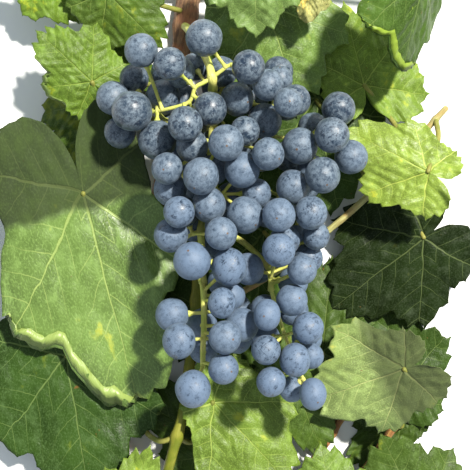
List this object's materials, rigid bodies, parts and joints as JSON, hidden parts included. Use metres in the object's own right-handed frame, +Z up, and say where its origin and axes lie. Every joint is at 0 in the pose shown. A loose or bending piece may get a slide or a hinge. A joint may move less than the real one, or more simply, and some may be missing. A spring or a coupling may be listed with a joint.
{
  "type": "cut grapevine branch with a bunch of grapes",
  "caption": "Cut grapevine branch lying on its back: woody canes and green shoots with lobed, toothed leaves round a ripe bunch of blue-black grapes on its branched stalk.",
  "frame": {"origin": "centre of the underside of the whole branch's box, at the level of the floor that it lies on", "axes": "+Z up and towards the viewer of the picture, +Y up the picture, along the canes and the bunch from its free tip to its stalk, +X to the picture's right"},
  "size_m": [0.228, 0.2877, 0.0796],
  "materials": {
    "cane_bark": "reddish-brown ripened cane with fine lengthwise grain and darker swollen nodes",
    "green_stalk": "smooth yellow-green living stalk, slightly knobbed at its joints",
    "grape_skin": "dark blue-purple skin under a pale powdery bloom, rubbed off in spots and scratches",
    "vine_leaf": "yellow-green to deep green blade with raised pale veins, toothed edge and a paler matt underside"
  },
  "bodies": {
    "root": {"back_upper": "grape_skin", "behind_bunch_leaf": "vine_leaf", "below_bunch_leaf": "vine_leaf", "bottom_leaf": "vine_leaf", "bottom_right_leaf": "vine_leaf", "centre_low_leaf": "vine_leaf", "corner_left_leaf": "vine_leaf", "corner_right_leaf": "vine_leaf", "folded_leaf": "vine_leaf", "front_lateral": "grape_skin", "green_shoot": "green_stalk", "hero_leaf": "vine_leaf", "left_back_leaf": "vine_leaf", "left_shaded_leaf": "vine_leaf", "left_shoulder": "grape_skin", "left_side": "grape_skin", "left_tail": "grape_skin", "low_back_leaf": "vine_leaf", "low_left": "grape_skin", "low_left_leaf": "vine_leaf", "low_middle": "grape_skin", "low_right_back_leaf": "vine_leaf", "lower_cane": "cane_bark", "lower_right_leaf": "vine_leaf", "main_cane": "cane_bark", "middle_lateral": "grape_skin", "middle_right_leaf": "vine_leaf", "rachis": "green_stalk", "right_back_leaf": "vine_leaf", "right_bright_leaf": "vine_leaf", "right_cane": "cane_bark", "right_dark_leaf": "vine_leaf", "right_shoulder": "grape_skin", "right_side": "grape_skin", "right_tail": "grape_skin", "right_tail_end": "grape_skin", "right_wing": "grape_skin", "side_shoot": "cane_bark", "top_lateral": "grape_skin", "top_left_leaf": "vine_leaf", "top_middle_leaf": "vine_leaf", "under_bunch_leaf": "vine_leaf", "upper_back_leaf": "vine_leaf", "upper_dark_leaf": "vine_leaf", "upper_left_leaf": "vine_leaf", "upper_shoot": "cane_bark", "young_leaf": "vine_leaf"}
  },
  "joints": []
}
